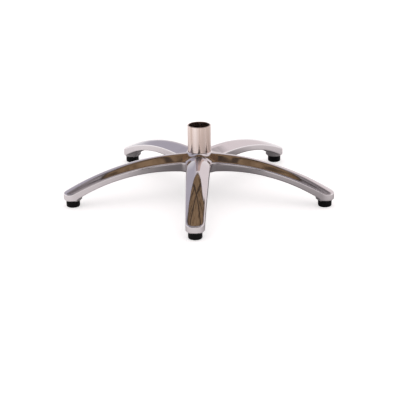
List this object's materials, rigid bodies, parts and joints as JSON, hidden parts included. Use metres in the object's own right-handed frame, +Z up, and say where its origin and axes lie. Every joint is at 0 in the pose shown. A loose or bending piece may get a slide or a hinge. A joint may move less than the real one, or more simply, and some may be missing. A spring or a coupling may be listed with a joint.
{
  "type": "spider table base",
  "caption": "Low spider base for a pedestal table: crowned, tapering cast arms arch down from a hub to screwed glides, with a short round column tube.",
  "frame": {"origin": "on the floor, under the column's axis", "axes": "+Z up along the column; one arm points along -Y and the others follow every 72 degrees"},
  "size_m": [0.5726, 0.5464, 0.1535],
  "materials": {
    "cast_aluminium": "polished cast aluminium",
    "column_steel": "polished steel tube with a faint drawn grain",
    "plain_steel": "zinc-plated steel, dull",
    "glide_plastic": "black moulded plastic, satin"
  },
  "bodies": {
    "root": {"spider_casting": "cast_aluminium", "column_tube": "column_steel", "column_plug": "plain_steel", "clamp_washer": "plain_steel", "spring_washer": "plain_steel", "clamp_bolt": "plain_steel", "glide_pad_1": "glide_plastic", "glide_stem_1": "plain_steel", "glide_pad_2": "glide_plastic", "glide_stem_2": "plain_steel", "glide_pad_3": "glide_plastic", "glide_stem_3": "plain_steel", "glide_pad_4": "glide_plastic", "glide_stem_4": "plain_steel", "glide_pad_5": "glide_plastic", "glide_stem_5": "plain_steel"}
  },
  "joints": []
}
